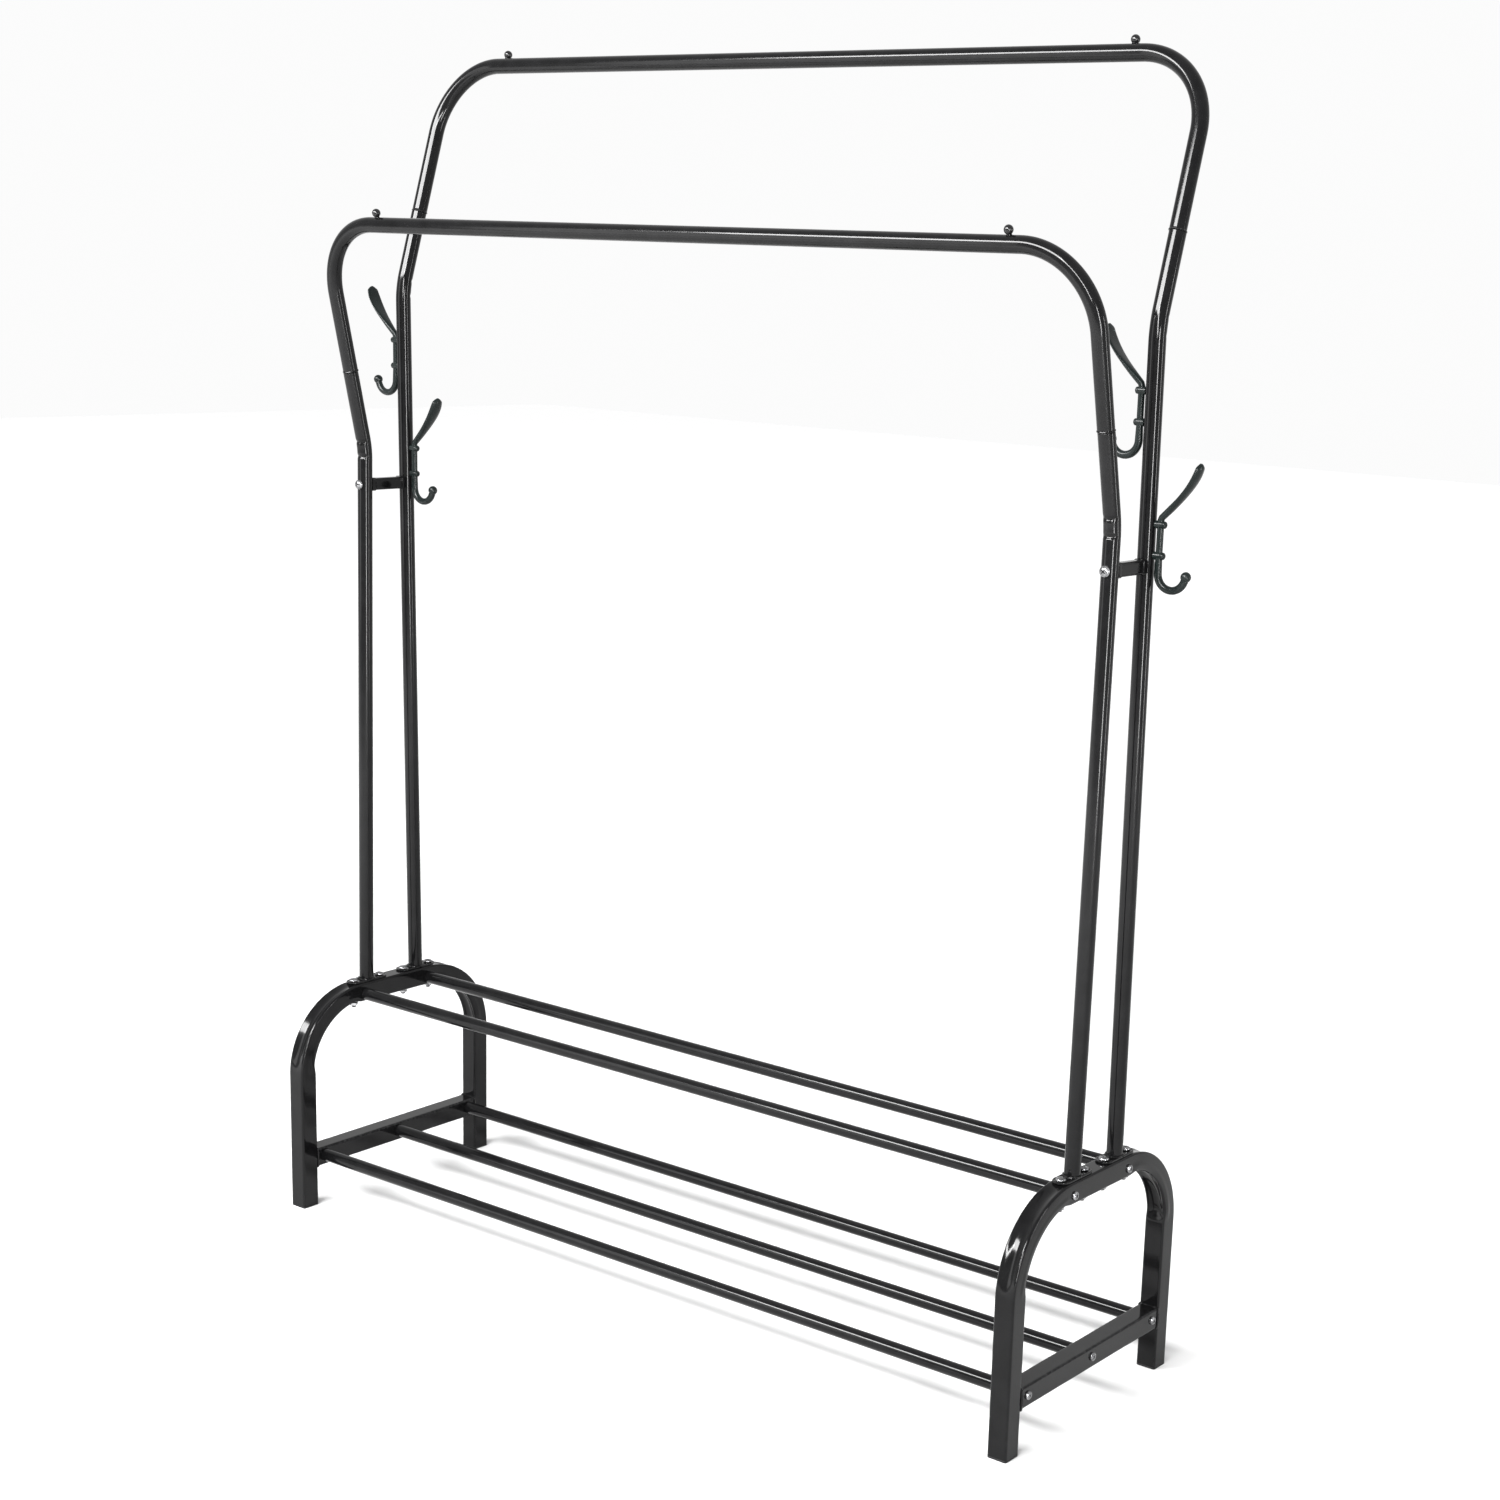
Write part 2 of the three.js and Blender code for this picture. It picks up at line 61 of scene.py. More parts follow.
# Square tube of the end frames and crossbars.
FRAME_BEND = 96 * MM
FRAME_CORNER = 2.6 * MM  # radius of the tube's rounded edges
BEND_DENT = 3.2 * MM  # how far the inner wall of a bend is pressed in
BEND_GROOVE = 3.4 * MM  # extra depth along the middle of the pressed walls
GROOVE_BAND = 0.1  # how near to a wall the groove starts, as a share of the half width
INNER_RAMP = 0.12  # share of the bend over which the inner wall's dent sets in
OUTER_RAMP = 0.24
BEND_BULGE = 0.07  # how far the side walls swell, as a share of the half width
OUTER_BULGE = 0.6  # how much of that swelling the outer half of the section has
CROSSBAR_BEAD = 1.5 * MM  # radius of the weld bead at a crossbar's ends
CROSSBAR_BEAD_OUT = 0.3 * MM  # tube's wall to the middle of that bead

# Round tube of the uprights and top rails.
TUBE_R = 9.5 * MM
TUBE_SIDES = 40
UPRIGHT_BEND = 120 * MM
WRINKLE_DEPTH = 1.7 * MM  # two dents on the inside of an upright's bend
WRINKLE_WIDTH = 2.0 * MM
WRINKLE_AT = 9.5 * MM  # from the middle of the bend, along it
RAIL_BEND = 88 * MM
FRONT_CORNER = Vector((0, -35.5, 1008.5)) * MM  # where an upright's two straight runs meet
REAR_CORNER = Vector((0, 33.0, 1213.5)) * MM
JOINT_UP = 100 * MM  # from that corner to the plug-in joint
SPIGOT_R = 7.9 * MM
SPIGOT_LENGTH = 38 * MM
SPIGOT_ROOT = 3 * MM  # how far the spigot starts below the joint

# Tube ends as pairs of mm outside the tube and mm in from its end.
CHAMFERED_END = [(-0.38, 0.0), (0.0, 0.5)]
RIMMED_END = [
    (-0.35, 0.0), (0.35, 0.25), (0.7, 0.8), (0.7, 1.2), (0.55, 1.5), (0.12, 2.15), (0.0, 2.7),
]

# Oval plate under each upright.
PLATE_THICK = 2.4 * MM
PLATE_HALF = 32 * MM
PLATE_R = 10.5 * MM
BASE_Y = 44.5 * MM  # middle of the rack to the plate's centre
TUBE_SUNK = 0.8 * MM  # how far the tube reaches into the plate
SEAM_SUNK = 0.4 * MM
UPRIGHT_BEAD = 1.6 * MM  # radius of the weld bead round the tube
UPRIGHT_BEAD_OUT = 0.6 * MM  # tube's wall to the middle of that bead

# Shelf rods and braces.
ROD_CAD_SIDES = 12
BRACE_HALF_X = 6 * MM
BRACE_HALF_Z = 7.75 * MM
BRACE_CORNER = 2.6 * MM
BRACE_FLARED = 7 * MM  # half width of a brace where it meets the upright
BRACE_FLARE = [(0.0, 1.17, 1.1), (3.5, 1.17, 1.1), (4.6, 1.06, 1.03), (6.0, 1.0, 1.0)]

# Fasteners.
HEAD_HIGH = {"base_bolt": 2.8 * MM, "rod_screw": 3 * MM, "brace_bolt": 4.6 * MM}
THREAD_PITCH = 1 * MM
THREAD_TURNS = 12
SCREW_TIP = 0.6 * MM
NUT_ACROSS = 10 * MM
NUT_THICK = 4 * MM
SPIN_STEP = 0.7  # each fastener is turned this much further than the one before, in radians

# Coat hooks and stop balls, in mm. A hook is drawn with X outwards from its upright's centre line
# and Y up from its upper screw.
HOOK_STEM = 16  # centre line of the upright to the stem
HOOK_SCREWS = 33
HOOK_R = 3.7
PRONG = [(44.5, 67.5), (42, 46.5), (24, 30), (1, 7.5)]  # control points, X measured from the stem
STEM_RINGS = [(4.5, 3.72), (1, 3.7), (-4, 3.7), (-31, 3.7), (-39, 3.9)]  # height and radius
BLADE_EXTRA = 6.1  # how much wider than the stem each half of the prong's blade gets
BLADE_THIN = 1.3
BLADE_CUP = 1.5
CURL_R = 16.8
CURL_BAR = 4.3  # radius of the bar that forms the curl
CURL_DROP = 18.6  # lower screw to the curl's centre
CURL_SWEEP = 0.9 * math.pi
CURL_BALL_R = 5.8
CURL_BALL_AHEAD = 4.5
BOSS_HIGH = 3.6  # stem's far side to the top of a screw head
STUD = [(0, 4), (2, 4), (2, 9.4), (3.3, 9.45), (3.3, 9.9), (2.6, 10.3)]  # radius and height
BALL_R = 5.2
BALL_UP = 14.7


# ---- Materials ----
class Nodes:
    """A material's node tree, with short calls to add and link nodes."""

    def __init__(self, name):
        self.material = bpy.data.materials.new(name)
        self.material.use_nodes = True
        self.tree = self.material.node_tree
        self.shader = self.tree.nodes["Principled BSDF"]

    def add(self, kind, values=None, **settings):
        node = self.tree.nodes.new(kind)
        for key, value in settings.items():
            setattr(node, key, value)
        for key, value in (values or {}).items():
            node.inputs[key].default_value = value
        return node

    def link(self, source, target):
        """target is a socket, or the name of one of the shader's own."""
        if isinstance(target, str):
            target = self.shader.inputs[target]
        self.tree.links.new(source, target)

    def noise(self, scale, detail=3.0, roughness=0.5):
        """Noise in object space, scale grains to the metre."""
        place = self.add("ShaderNodeTexCoord").outputs["Object"]
        node = self.add(
            "ShaderNodeTexNoise",
            {"Scale": scale, "Detail": detail, "Roughness": roughness},
        )
        self.link(place, node.inputs["Vector"])
        return node.outputs["Fac"]

    def spread(self, source, low, high, start=0.0, end=1.0):
        """Maps start to end onto low to high, and holds what is outside."""
        node = self.add(
            "ShaderNodeMapRange",
            {"From Min": start, "From Max": end, "To Min": low, "To Max": high},
        )
        self.link(source, node.inputs["Value"])
        return node.outputs["Result"]

    def blend(self, factor, dark, light):
        """Mixes two colours. dark may be a socket."""
        node = self.add("ShaderNodeMix", data_type="RGBA")
        if isinstance(dark, tuple):
            node.inputs["A"].default_value = (*dark, 1)
        else:
            self.link(dark, node.inputs["A"])
        node.inputs["B"].default_value = (*light, 1)
        self.link(factor, node.inputs["Factor"])
        return node.outputs["Result"]

    def bump(self, layers):
        """layers: (height, distance in metres) pairs, from the coarsest to the finest."""
        last = None
        for height, distance in layers:
            node = self.add("ShaderNodeBump", {"Strength": 1.0, "Distance": distance})
            self.link(height, node.inputs["Height"])
            if last:
                self.link(last, node.inputs["Normal"])
            last = node.outputs["Normal"]
        self.link(last, "Normal")

    def set(self, **values):
        for key, value in values.items():
            self.shader.inputs[key.replace("_", " ")].default_value = value


def edge_wear_and_highlight(nodes, start, end):
    """0 on flat skin, towards 1 on convex edges, broken up by a fine noise: edge wear, and on the
    coats also a painted highlight along the edges.
    """
    pointed = nodes.add("ShaderNodeNewGeometry").outputs["Pointiness"]
    edge = nodes.spread(pointed, 0.0, 1.0, start, end)
    patchy = nodes.spread(nodes.noise(220, 4), 0.0, 1.0, 0.42, 0.66)
    both = nodes.add("ShaderNodeMath", operation="MULTIPLY")
    nodes.link(edge, both.inputs[0])
    nodes.link(patchy, both.inputs[1])
    return both.outputs["Value"]


def coat_material(name, dark, light, worn_and_highlit, rough, peel, peel_depth):
    """A baked-on coat over steel: mottled colour, orange peel, and lighter edges that are partly
    wear and partly a painted highlight.
    rough is the lowest and highest roughness, and peel the grains of orange peel to the metre."""
    nodes = Nodes(name)
    mottle = nodes.spread(nodes.noise(38, 5, 0.6), 0.0, 1.0, 0.3, 0.7)
    # The edges of a tube's mesh are sharper than these limits, and its round walls are not. The
    # lighter edges are partly wear and partly a painted highlight along the square tubes' corners.
    lighter_edges = edge_wear_and_highlight(nodes, 0.57, 0.66)
    nodes.link(nodes.blend(lighter_edges, nodes.blend(mottle, dark, light), worn_and_highlit), "Base Color")
    smear = nodes.noise(14, 4, 0.65)
    nodes.link(nodes.spread(smear, rough[0], rough[1], 0.3, 0.7), "Roughness")
    nodes.bump([(nodes.noise(peel, 2), peel_depth), (nodes.noise(peel * 5, 2), peel_depth * 0.25)])
    nodes.set(IOR=1.5, Specular_IOR_Level=0.15)
    return nodes.material


def gloss_ball():
    """Thick glossy black paint."""
    nodes = Nodes("ball_gloss")
    tint = nodes.blend(nodes.noise(160, 3), (0.003, 0.003, 0.0032), (0.006, 0.006, 0.0063))
    nodes.link(tint, "Base Color")
    nodes.link(nodes.spread(nodes.noise(90, 3), 0.1, 0.2), "Roughness")
    nodes.bump([(nodes.noise(700, 2), 0.02 * MM)])
    nodes.set(IOR=1.5, Specular_IOR_Level=0.25, Coat_Weight=0.08, Coat_Roughness=0.06)
    return nodes.material


def screw_black():
    """Black-plated steel: metallic, uneven, with brighter rubbed edges."""
    nodes = Nodes("screw_black")
    lighter_edges = nodes.blend(edge_wear_and_highlight(nodes, 0.5, 0.58), (0.11, 0.111, 0.114), (0.5, 0.5, 0.51))
    nodes.link(lighter_edges, "Base Color")
    nodes.link(nodes.spread(nodes.noise(260, 3), 0.14, 0.26), "Roughness")
    nodes.bump([(nodes.noise(900, 3), 0.04 * MM)])
    nodes.set(Metallic=0.85)
    return nodes.material


def foot_plastic():
    """Moulded black plastic with a fine spark-eroded grain and scuffed edges."""
    nodes = Nodes("foot_plastic")
    tint = nodes.blend(edge_wear_and_highlight(nodes, 0.5, 0.6), (0.003, 0.003, 0.0033), (0.012, 0.012, 0.0125))
    nodes.link(tint, "Base Color")
    nodes.link(nodes.spread(nodes.noise(120, 4), 0.42, 0.62), "Roughness")
    nodes.bump([(nodes.noise(1500, 3), 0.05 * MM)])
    nodes.set(IOR=1.48, Specular_IOR_Level=0.2)
    return nodes.material


MATERIALS = {
    "powder_coat": coat_material(
        "powder_coat",
        dark=(0.0016, 0.0016, 0.0017),
        light=(0.0034, 0.0034, 0.0036),
        # The edge colour is partly wear, partly a painted highlight along the edges.
        worn_and_highlit=(0.024, 0.0243, 0.0246),
        rough=(0.08, 0.14),
        peel=150,
        peel_depth=0.003 * MM,
    ),
    "hook_coat": coat_material(
        "hook_coat",
        dark=(0.0022, 0.0036, 0.0034),
        light=(0.0048, 0.0068, 0.0066),
        # The edge colour is partly wear, partly a painted highlight along the edges.
        worn_and_highlit=(0.032, 0.038, 0.038),
        rough=(0.2, 0.32),
        peel=300,
        peel_depth=0.03 * MM,
    ),
    "ball_gloss": gloss_ball(),
    "screw_black": screw_black(),
    "foot_plastic": foot_plastic(),
}


# ---- Mesh building ----
def plain_mesh(bm, name):
    """Turns a bmesh into a mesh, and frees it."""
    mesh = bpy.data.meshes.new(name)
    bm.to_mesh(mesh)
    bm.free()
    return mesh


def finish_mesh(bm, name, sharp_degrees=38):
    """Turns a bmesh into a smooth-shaded mesh whose flat faces stay flat."""
    bmesh.ops.remove_doubles(bm, verts=bm.verts, dist=1e-6)
    bmesh.ops.recalc_face_normals(bm, faces=bm.faces)
    mesh = plain_mesh(bm, name)
    mesh.shade_smooth()
    mesh.set_sharp_from_angle(angle=math.radians(sharp_degrees))
    return mesh


def add_object(name, data):
    made = bpy.data.objects.new(name, data)
    scene.collection.objects.link(made)
    return made


def piece(name, mesh, node, slot, matrix=None):
    """Puts a mesh in place as the piece that stands for one CAD node."""
    made = add_object(name, mesh)
    if matrix is not None:
        made.matrix_world = matrix
    if not mesh.materials:
        mesh.materials.append(MATERIALS[slot])
    even = made.modifiers.new("even_normals", "WEIGHTED_NORMAL")
    even.keep_sharp = True
    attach(made, "root")
    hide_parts(node)


def box_of(node):
    """A node's lowest and highest corner, and its middle."""
    low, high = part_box(node)
    return low, high, (low + high) / 2


def ring_of(bm, points):
    return [bm.verts.new(p) for p in points]


def bridge(bm, a, b):
    count = len(a)
    for i in range(count):
        j = (i + 1) % count
        bm.faces.new((a[i], a[j], b[j], b[i]))


def skin(bm, rings, closed=False):
    """Joins rings of equal length into a tube. A closed tube joins its last ring to its first."""
    made = [ring_of(bm, ring) for ring in rings]
    for a, b in zip(made, made[1:]):
        bridge(bm, a, b)
    if closed:
        bridge(bm, made[-1], made[0])
    else:
        bm.faces.new(reversed(made[0]))
        bm.faces.new(made[-1])


def circle(radius, sides):
    step = 2 * math.pi / sides
    return [radius * Vector((math.cos(i * step), math.sin(i * step))) for i in range(sides)]


def turned(profile, sides):
    """A closed body turned about Z from (radius, height) pairs that start and end on the axis."""
    bm = bmesh.new()
    low = bm.verts.new((0, 0, profile[0][1]))
    high = bm.verts.new((0, 0, profile[-1][1]))
    rings = []
    for radius, height in profile[1:-1]:
        rings.append(ring_of(bm, [Vector((p.x, p.y, height)) for p in circle(radius, sides)]))
    for a, b in zip(rings, rings[1:]):
        bridge(bm, a, b)
    for i in range(sides):
        j = (i + 1) % sides
        bm.faces.new((low, rings[0][j], rings[0][i]))
        bm.faces.new((high, rings[-1][i], rings[-1][j]))
    return bm


def in_metres(profile):
    return [(radius * MM, height * MM) for radius, height in profile]


def aimed(place, axis):
    """Moves a body turned about Z to a place, with its axis in another direction."""
    return Matrix.Translation(place) @ Z.rotation_difference(axis).to_matrix().to_4x4()


def rounded_rect(half_x, half_y, corner, steps=5, across=8):
    """Points round a rectangle with rounded corners, anticlockwise from the first corner."""
    points = []
    for quarter in range(4):
        sx = 1 if quarter in (0, 3) else -1
        sy = 1 if quarter < 2 else -1
        centre = Vector((sx * (half_x - corner), sy * (half_y - corner)))
        first = quarter * math.pi / 2
        for i in range(steps + 1):
            a = first + i * math.pi / 2 / steps
            points.append(centre + corner * Vector((math.cos(a), math.sin(a))))
        end = points[-1]
        ahead = first + math.pi
        way = Vector((math.cos(ahead), math.sin(ahead)))
        length = 2 * ((half_x if quarter % 2 == 0 else half_y) - corner)
        points += [end + way * length * i / across for i in range(1, across)]
    return points


def stadium(half, radius, steps=10):
    """Points round an outline with two straight sides and two half-circle ends."""
    points = []
    for end in (1, -1):
        for i in range(steps + 1):
            a = (0 if end > 0 else math.pi) + math.pi * i / steps
            y = end * (half - radius) + radius * math.sin(a)
            points.append(Vector((radius * math.cos(a), y)))
    return points


def smooth_step(value):
    value = min(1.0, max(0.0, value))
    return value * value * (3 - 2 * value)


def plateau(bent, ramp):
    """0 at both ends of a bend, 1 along its middle."""
    return smooth_step(bent / ramp) * smooth_step((1 - bent) / ramp)


def ragged(angle, seed):
    """A steady, hand-made wobble from 0 to 1 for weld beads."""
    return 0.5 + 0.25 * math.sin(23 * angle + seed) + 0.25 * math.sin(41 * angle + 2.3 * seed)


def weld_bead(bm, path, centre, up, thick, seed):
    """A bumpy bead laid along a closed path round a centre, in the plane square to up."""
    rings = []
    for i, place in enumerate(path):
        angle = 2 * math.pi * i / len(path)
        out = (place - centre).normalized()
        size = thick * (0.8 + 0.35 * ragged(angle, seed))
        rings.append([place + (out * p.x + up * p.y) for p in circle(size, 8)])
    skin(bm, rings, closed=True)


# ---- Bent tubes ----
class Station:
    """A place along a path: where it is, which way it runs, its side, and how far round a bend."""

    def __init__(self, place, along, side, bent=0.0):
        self.place = place
        self.along = along
        self.side = side
        self.up = along.cross(side)
        self.bent = bent

    def at(self, point):
        return self.place + self.side * point.x + self.up * point.y


def bent_path(corners, radius, side, arc_steps):
    """Stations along straight runs joined by arcs that all lie in one plane, square to side.
    A station's bent goes from 0 to 1 along each arc, and is 0 at the path's two ends."""
    into = (corners[1] - corners[0]).normalized()
    stations = [Station(corners[0], into, side)]
    for before, corner, after in zip(corners, corners[1:], corners[2:]):
        into = (corner - before).normalized()
        out = (after - corner).normalized()
        turn = into.angle(out)
        inward = (out - into * out.dot(into)).normalized()
        arc_start = corner - into * radius * math.tan(turn / 2)
        centre = arc_start + inward * radius
        for i in range(arc_steps + 1):
            a = turn * i / arc_steps
            place = centre - inward * radius * math.cos(a) + into * radius * math.sin(a)
            along = into * math.cos(a) + inward * math.sin(a)
            stations.append(Station(place, along, side, i / arc_steps))
    last = (corners[-1] - corners[-2]).normalized()
    stations.append(Station(corners[-1], last, side))
    return stations


def tube_rings(stations, radius, sides, dent=None):
    """A ring at each station. dent gives how far a point of the ring is pushed in."""
    rings = []
    for station in stations:
        ring = []
        for point in circle(radius, sides):
            push = dent(station, point) if dent else 0.0
            ring.append(station.at(point * (1 - push / radius)))
        rings.append(ring)
    return rings


def with_ends(rings, stations, profile):
    """Replaces the first and last ring of a tube by the rings of a shaped end."""

    def end_rings(station, ring, inward):
        made = []
        for proud, inset in profile:
            share = 1 + proud * MM / TUBE_R
            move = inward * inset * MM
            made.append([station.place + (p - station.place) * share + move for p in ring])
        return made

    first, last = stations[0], stations[-1]
    start = end_rings(first, rings[0], first.along)
    end = end_rings(last, rings[-1], -last.along)
    return start + rings[1:-1] + end[::-1]


# ---- End frames, crossbars and feet ----
def pressed(point, half, bent):
    """Where a point of the square section goes in a bend whose walls are pressed in.
    point.y is above 0 on the inside of the bend."""
    inner = point.y > 0
    press = plateau(bent, INNER_RAMP if inner else OUTER_RAMP)
    y = point.y
    if inner:
        y -= BEND_DENT * press * point.y / half
    flat = half - FRAME_CORNER
    if abs(point.x) < flat:
        groove = max(0.0, math.cos(math.pi / 2 * point.x / flat))
        wall = smooth_step((abs(point.y) / half - (1 - GROOVE_BAND)) / GROOVE_BAND)
        y -= math.copysign(BEND_GROOVE * groove * wall * press, point.y)
    crown = max(0.0, math.cos(math.pi / 2 * point.y / half))
    bulge = BEND_BULGE * press * crown * (1 if inner else OUTER_BULGE)
    return Vector((point.x * (1 + bulge), y))


def end_frame(node):
    low, high, middle = box_of(node)
    half = (high.x - low.x) / 2
    leg = high.y - half
    top = high.z - half
    corners = [
        Vector((middle.x, -leg, low.z)),
        Vector((middle.x, -leg, top)),
        Vector((middle.x, leg, top)),
        Vector((middle.x, leg, low.z)),
    ]
    section = rounded_rect(half, half, FRAME_CORNER)
    stations = bent_path(corners, FRAME_BEND, X, 40)
    bm = bmesh.new()
    skin(bm, [[s.at(pressed(p, half, s.bent)) for p in section] for s in stations])
    piece(node + "_tube", finish_mesh(bm, node), node, "powder_coat")


def crossbar(node):
    low, high, middle = box_of(node)
    half = (high.x - low.x) / 2
    section = rounded_rect(half, half, FRAME_CORNER)
    bead = half + CROSSBAR_BEAD_OUT
    seam = rounded_rect(bead, bead, FRAME_CORNER)
    ends = [Vector((middle.x, low.y, middle.z)), Vector((middle.x, high.y, middle.z))]
    bm = bmesh.new()
    skin(bm, [[end + X * p.x + Z * p.y for p in reversed(section)] for end in ends])
    for end, way in zip(ends, (Y, -Y)):
        path = [end + X * p.x + Z * p.y for p in seam]
        weld_bead(bm, path, end, way, CROSSBAR_BEAD, end.x + end.y)
    piece(node + "_tube", finish_mesh(bm, node), node, "powder_coat")


def foot(node):
    """A plug with a thin flange that shows under the leg."""
    low, high, middle = box_of(node)
    half = (high.x - low.x) / 2
    # In from the flange's edge and up from the floor, in mm: first the flange, then the plug.
    levels = [
        (0.9, 0.0), (0.3, 0.25), (0.0, 0.8), (0.0, 2.0), (0.35, 2.4), (0.6, 2.5),
        (2.3, 2.5), (2.3, 12.5), (3.0, 14.0),
    ]
    rings = []
    for inset, height in levels:
        size = half - inset * MM
        corner = max(0.6 * MM, FRAME_CORNER - inset * MM)
        centre = Vector((middle.x, middle.y, low.z + height * MM))
        rings.append([centre + X * p.x + Y * p.y for p in rounded_rect(size, size, corner)])
    bm = bmesh.new()
    skin(bm, rings)
    piece(node + "_cap", finish_mesh(bm, node), node, "foot_plastic")


# ---- Uprights, top rails and stop balls ----
def side_of(word):
    """The bend corner, the rail's centre line, the slant's direction and the plug-in joint of the
    front or rear uprights, all at X = 0."""
    corner = FRONT_CORNER if word == "front" else REAR_CORNER
    low, high, _ = box_of("top_rail_" + word)
    rail_y = low.y + TUBE_R if word == "front" else high.y - TUBE_R
    rail = Vector((0, rail_y, high.z - TUBE_R))
    slant = (rail - corner).normalized()
    return corner, rail, slant, corner + slant * JOINT_UP


def base_plate(bm, centre):
    """An oval plate with a raised, rounded rim."""
    thick = PLATE_THICK / MM
    # In from the plate's edge and up from its underside, in mm.
    levels = [
        (0.7, 0.0), (0.1, 0.3), (0.0, thick - 0.9), (0.25, thick - 0.25), (0.8, thick),
        (1.5, thick - 0.05), (2.2, thick - 0.6), (3.4, thick - 0.8),
    ]
    rings = []
    for inset, height in levels:
        points = stadium(PLATE_HALF - inset * MM, PLATE_R - inset * MM)
        rings.append([centre + Vector((p.x, p.y, height * MM)) for p in points])
    skin(bm, rings)


def upright(node):
    word = node.split("_")[1]
    sign = -1 if word == "front" else 1
    low, _, middle = box_of(node)
    shift = X * middle.x
    corner, _, slant, joint = side_of(word)
    joint = joint + shift

    def wrinkle(station, point):
        """Two short dents on the inside of the bend."""
        if station.bent <= 0 or station.bent >= 1:
            return 0.0
        arc = (station.bent - 0.5) * UPRIGHT_BEND * Z.angle(slant)
        facing = max(0.0, (station.at(point) - station.place).normalized().y * sign)
        steps = [(arc - place) / WRINKLE_WIDTH for place in (-WRINKLE_AT, WRINKLE_AT)]
        return WRINKLE_DEPTH * sum(math.exp(-step ** 2) for step in steps) * facing ** 2

    plate = Vector((middle.x, sign * BASE_Y, low.z))
    start = plate + Z * (PLATE_THICK - TUBE_SUNK)
    stations = bent_path([start, corner + shift, joint], UPRIGHT_BEND, X, 24)
    rings = tube_rings(stations, TUBE_R, TUBE_SIDES, wrinkle)
    bm = bmesh.new()
    skin(bm, with_ends(rings, stations, CHAMFERED_END))
    ends = (joint - slant * SPIGOT_ROOT, joint + slant * SPIGOT_LENGTH)
    skin(bm, tube_rings([Station(end, slant, X) for end in ends], SPIGOT_R, 32))
    base_plate(bm, plate)
    seam = plate + Z * (PLATE_THICK - SEAM_SUNK)
    path = [seam + X * p.x + Y * p.y for p in circle(TUBE_R + UPRIGHT_BEAD_OUT, 72)]
    weld_bead(bm, path, seam, Z, UPRIGHT_BEAD, middle.x + sign)
    piece(node + "_post", finish_mesh(bm, node), node, "powder_coat")


def top_rail(node):
    _, high, _ = box_of(node)
    _, rail, slant, joint = side_of(node.split("_")[-1])
    half = high.x - TUBE_R
    start = joint + slant * GAP
    corners = [start - X * half, rail - X * half, rail + X * half, start + X * half]
    stations = bent_path(corners, RAIL_BEND, X.cross(slant).normalized(), 32)
    rings = tube_rings(stations, TUBE_R, TUBE_SIDES)
    bm = bmesh.new()
    skin(bm, with_ends(rings, stations, RIMMED_END))
    piece(node + "_tube", finish_mesh(bm, node), node, "powder_coat")


def stop_ball(node):
    """A ball on a stud that goes down into the rail."""
    _, _, middle = box_of(node)
    _, rail, slant, _ = side_of(node.split("_")[2])
    profile = list(STUD)
    for degrees in range(-52, 89, 10):
        a = math.radians(degrees)
        profile.append((BALL_R * math.cos(a), BALL_UP + BALL_R * math.sin(a)))
    profile.append((0, BALL_UP + BALL_R))
    mesh = finish_mesh(turned(in_metres(profile), 28), node, 60)
    place = aimed(Vector((middle.x, rail.y, rail.z)), slant)
    piece(node + "_knob", mesh, node, "ball_gloss", place)


# ---- Screws, bolts and nuts ----
def carved(mesh, cutter):
    """The mesh with the cutter's shape taken out of it."""
    body = add_object("carve_body", mesh)
    tool = add_object("carve_tool", cutter)
    cut = body.modifiers.new("cut", "BOOLEAN")
    cut.operation = "DIFFERENCE"
    cut.solver = "EXACT"
    cut.object = tool
    graph = bpy.context.evaluated_depsgraph_get()
    made = bpy.data.meshes.new_from_object(body.evaluated_get(graph))
    for part in (body, tool):
        bpy.data.objects.remove(part)
    made.shade_smooth()
    made.set_sharp_from_angle(angle=math.radians(32))
    return made


def cross_cutter(top, size, wide, depth):
    """A cross-shaped driver recess that narrows towards its bottom."""
    quarter = [Vector((size, -wide)), Vector((size, wide)), Vector((wide, wide))]
    turns = [Matrix.Rotation(i * math.pi / 2, 2) for i in range(4)]
    outline = [turn @ p for turn in turns for p in quarter]
    levels = ((top - depth, 0.4), (top + 1 * MM, 1.15))
    bm = bmesh.new()
    skin(bm, [[Vector((p.x * share, p.y * share, z)) for p in outline] for z, share in levels])
    bmesh.ops.recalc_face_normals(bm, faces=bm.faces)
    return plain_mesh(bm, "cross_cutter")


def screw_mesh(name, shank, length, head, domed=False):
    """A cross-head screw along +Z, the underside of its head at zero, its lower end threaded.
    shank and head are radii."""
    high = HEAD_HIGH[name]
    round_power = 1.0 if domed else 0.8
    edge_power = 1.0 if domed else 0.6
    rim = 0.15 * high
    profile = [(0, -length), (shank * 0.7, -length), (shank, -length + SCREW_TIP)]
    for i in range(THREAD_TURNS):
        start = -length + SCREW_TIP + i * THREAD_PITCH
        profile.append((shank * 0.84, start + 0.3 * THREAD_PITCH))
        profile.append((shank, start + 0.7 * THREAD_PITCH))
    profile += [(shank, -0.1 * MM), (head * 0.97, 0), (head, rim)]
    for i in range(1, 9):
        a = math.pi / 2 * i / 8
        radius = max(head * math.cos(a) ** edge_power, 0.02 * MM)
        profile.append((radius, rim + (high - rim) * math.sin(a) ** round_power))
    profile.append((0, high))
    body = finish_mesh(turned(profile, 28), name)
    return carved(body, cross_cutter(high, head * 0.55, head * 0.13, high * 0.75))


